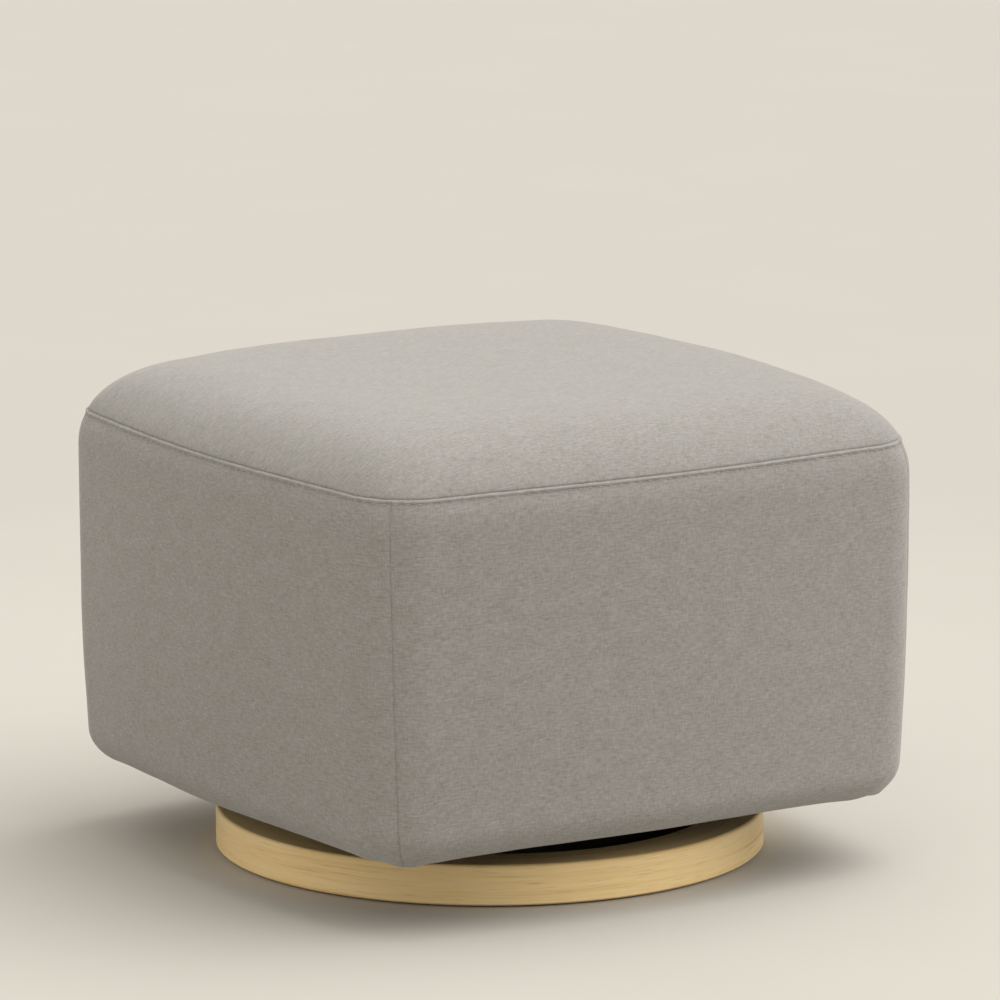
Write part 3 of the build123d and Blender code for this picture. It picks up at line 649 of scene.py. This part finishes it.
# foam under the covers
foam = {
    "gap": 0.0036,
    "seamGap": 0.0035,  # more at the corner seams
    "seamReach": 0.008,
    "deck": 0.3405,  # floor to the top of the deck
    "panel": 0.2590,  # middle of the frame to the outside of a panel
    "cornerCut": 0.0372,
    "turnIn": 0.2,  # share of the cover's lip that the foam reaches under
}


def boxGrid(cuts):
    # a closed box from -1 to 1 with the given number of cuts along x, y and z
    bm = bmesh.new()
    bmesh.ops.create_cube(bm, size=2)
    for axis, count in enumerate(cuts):
        if count:
            edges = [e for e in bm.edges
                     if abs((e.verts[0].co - e.verts[1].co)[axis]) > 1.9]
            bmesh.ops.subdivide_edges(bm, edges=edges, cuts=count, use_grid_fill=True)
    return bm


def makeSideFoam(side):
    bm = boxGrid((46, 0, 36))
    start = cover["lip"] * foam["turnIn"]
    end = profileLength - (block["seamHeight"] - foam["deck"])
    for vert in bm.verts:
        w, depth, height = vert.co
        walk = start + (end - start) * (height + 1) / 2
        low = block["underside"] + foam["gap"]
        if depth > 0:
            # along the panel, then along the cut corner of the frame
            up = low + (foam["deck"] - low) * (height + 1) / 2
            along = foam["panel"] * abs(w)
            over = max(0.0, along - foam["panel"] + foam["cornerCut"])
            along = math.copysign(along - over / 2, w)
            vert.co = turned(side, along, foam["panel"] - over / 2, up)
        else:
            here, _, outward, _ = sideFrame(side, w * 0.99, walk)
            toSeam = (1 - abs(w)) * sideLength
            away = foam["gap"] + foam["seamGap"] * math.exp(-toSeam / foam["seamReach"])
            vert.co = here - outward * away
            vert.co.z = max(vert.co.z, low)
    bmesh.ops.recalc_face_normals(bm, faces=bm.faces)
    piece = newPiece(side + "Foam", bm, foamFinish, replaced=[side + "_foam"])
    return piece


def makeTopFoam():
    bm = boxGrid((60, 60, 0))
    for vert in bm.verts:
        i, j, level = vert.co
        ring = max(abs(i), abs(j))
        side, w = sideAt(i, j)
        along, out, corner = outlinePoint(w)
        q = ring * (1 - (foam["gap"] + foam["seamGap"]) / block["halfWidth"])
        z = topHeight(ring, corner) - foam["gap"] if level > 0 else foam["deck"] + 0.0005
        vert.co = turned(side, along * q, out * q, z)
    bmesh.ops.recalc_face_normals(bm, faces=bm.faces)
    piece = newPiece("topFoam", bm, foamFinish, replaced=["top_foam"])
    return piece


for side in sideTurn:
    makeSideFoam(side)
makeTopFoam()
print("stage: foam made")

# dust cloths and their staples
dust = {
    "thickness": 0.0008,
    "sag": 0.0012,
    "sagReach": 0.0075,  # the cloth hangs free this far from its edges
    "cornerCut": 0.01575,
    "well": (0.1826, 0.1700),  # half the opening for the mechanism, across and along
    "clear": 0.0001,  # between the cloth and what it is fixed to
    "stapleGap": 0.042,
    "stapleEdge": 0.006,  # staples to the edge of the cloth
    "stapleWidth": 0.0105,
    "staple": 0.0006,
}
low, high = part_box("dust_cloths")
wellX, wellY = dust["well"]
lips = [BVHTree.FromPolygons([v.co for v in c.data.vertices],
                             [p.vertices for p in c.data.polygons])
        for c in sideCovers.values()]


def onLip(x, y, z):
    # height z, or as far down as the turned-in cover pushes it
    hits = [lip.ray_cast((x, y, 0), (0, 0, 1))[0] for lip in lips]
    return min([z] + [hit.z - 0.0003 for hit in hits if hit])


def makeDustCloth(name, corner, size):
    across, along = max(4, int(size[0] / 0.006)), max(4, int(size[1] / 0.006))

    def place(column, row):
        s, t = column / across, row / along
        x, y = corner[0] + size[0] * s, corner[1] + size[1] * t
        y *= min(1.0, (high.x + high.y - dust["cornerCut"] - abs(x)) / high.y)
        toEdge = min(s * size[0], (1 - s) * size[0], t * size[1], (1 - t) * size[1])
        free = min(1.0, toEdge / dust["sagReach"])
        ripple = (noise.noise(Vector((x * 24, y * 24, 5)))
                  + 0.5 * noise.noise(Vector((x * 70, y * 70, 2))))
        z = high.z - dust["clear"] - dust["sag"] * free * (0.5 + 0.5 * ripple)
        return Vector((x, y, onLip(x, y, z))), (x, y)

    bm, _ = gridSheet(across, along, place)
    piece = newPiece(name, bm, clothFinish, replaced=["dust_cloths"])
    thicken(piece, dust["thickness"])
    return piece


sideSize = (high.x - wellX, high.y - low.y)
endSize = (2 * wellX - 0.0006, high.y - wellY)
endX = 0.0003 - wellX  # a hair's breadth between neighbouring cloths
makeDustCloth("dustClothRight", (wellX, low.y), sideSize)
makeDustCloth("dustClothLeft", (low.x, low.y), sideSize)
makeDustCloth("dustClothRear", (endX, wellY), endSize)
makeDustCloth("dustClothFront", (endX, low.y), endSize)


def makeStaples():
    bm = bmesh.new()
    inset = dust["stapleEdge"]
    for end in (-1, 1):
        for i in range(-5, 6):
            for x, y, turn in ((i * dust["stapleGap"], end * (high.y - inset), 0),
                               (end * (high.x - inset), i * dust["stapleGap"], 1)):
                wide, deep = dust["stapleWidth"], dust["staple"]
                size = (deep, wide, deep, 1) if turn else (wide, deep, deep, 1)
                z = onLip(x, y, high.z) - dust["thickness"] - dust["clear"]
                bmesh.ops.create_cube(bm, size=1, matrix=Matrix.Translation((x, y, z))
                                      @ Matrix.Diagonal(size))
    bmesh.ops.bevel(bm, geom=bm.edges, offset=0.00015, affect="EDGES", segments=1, profile=0.5,
                    material=-1)
    return newPiece("dustStaples", bm, zinc)


makeStaples()
print("stage: dust cloths made")

# floor, light and camera
studio = {
    "floorColour": (0.444, 0.425, 0.390),
    # painted light: a paler floor colour, painted round the object to lighten its cast shadow
    "paintedLightFloor": (0.530, 0.503, 0.460),
    "paintedLightReach": (0.4, 1.7),  # painted light: the floor is painted paler round the object, out to here, which lightens the shadow the object casts on it
    "floorSize": 60,  # middle to edge, past the top of the picture
    "sky": 0.45,
    "skyColour": (1.0, 0.960, 0.885),
    "softness": 80.0,
    # strength, tilt and colour of each lamp
    "keyLight": (3.0, (40.0, 0.0, 60.0), (1.0, 0.996, 0.982)),
    "fillLight": (0.9, (58.0, 0.0, -84.0), (1.0, 0.968, 0.890)),
    "backLight": (1.05, (35.0, 0.0, 148.0), (1.0, 0.985, 0.960)),
}
bm = bmesh.new()
bmesh.ops.create_grid(bm, x_segments=8, y_segments=8, size=studio["floorSize"])
floorFinish = Finish("floorPlaster")
mottle = floorFinish.grain(floorFinish.objectPoint(), 3.0, 5.0, 0.6)
floorX, floorY, _ = floorFinish.split(floorFinish.objectPoint())
# painted light: near the object the floor is mixed towards the paler colour, fading out with
# distance; mottle adds random tone
away = floorFinish.step((floorX * floorX + floorY * floorY).calc("SQRT"), *studio["paintedLightReach"])
floorToneWithPaintedLight = floorFinish.mix(mottle * 0.3 + (1 - away) * 0.7,
                            studio["floorColour"], studio["paintedLightFloor"])
floorMaterial = floorFinish.surface(baseColor=floorToneWithPaintedLight, roughness=0.95, specularLevel=0.0)
floorMesh = bpy.data.meshes.new("floor")
bm.to_mesh(floorMesh)
bm.free()
floorMesh.materials.append(floorMaterial)
floor = bpy.data.objects.new("floor", floorMesh)
scene.collection.objects.link(floor)

world = bpy.data.worlds.new("studioSky")
scene.world = world
world.use_nodes = True
sky = world.node_tree.nodes["Background"].inputs
sky["Color"].default_value = (*studio["skyColour"], 1)
sky["Strength"].default_value = studio["sky"]

for name in ("keyLight", "fillLight", "backLight"):
    strength, tilt, colour = studio[name]
    lamp = bpy.data.lights.new(name, "SUN")
    lamp.energy, lamp.angle = strength, math.radians(studio["softness"])
    lamp.color = colour
    holder = bpy.data.objects.new(name, lamp)
    holder.rotation_euler = [math.radians(t) for t in tilt]
    scene.collection.objects.link(holder)

# the camera stands where the photograph was taken from
shot = {
    "lens": 275.1,
    "distance": 6.778,
    "azimuth": -31.895,
    "elevation": 12.115,
    "yaw": -0.123,
    "pitch": 0.962,
    "target": (-0.0044, 0.0027, 0.194),
}
azimuth, elevation = math.radians(shot["azimuth"]), math.radians(shot["elevation"])
back = Vector((math.sin(azimuth) * math.cos(elevation),
               -math.cos(azimuth) * math.cos(elevation), math.sin(elevation)))
look = Matrix.Rotation(math.radians(shot["yaw"]), 3, "Z") @ -back
sideways = look.cross(Vector((0, 0, 1))).normalized()
look = Matrix.Rotation(math.radians(shot["pitch"]), 3, sideways) @ look
upright = sideways.cross(look).normalized()
cameraData = bpy.data.cameras.new("photoCamera")
cameraData.lens, cameraData.sensor_width = shot["lens"], 36
cameraData.clip_start, cameraData.clip_end = 0.1, 300
camera = bpy.data.objects.new("photoCamera", cameraData)
scene.collection.objects.link(camera)
camera.matrix_world = (Matrix.Translation(Vector(shot["target"]) + back * shot["distance"])
                       @ Matrix((sideways, upright, -look)).transposed().to_4x4())
scene.camera = camera
scene.view_settings.view_transform = "Standard"
print("stage: studio made")
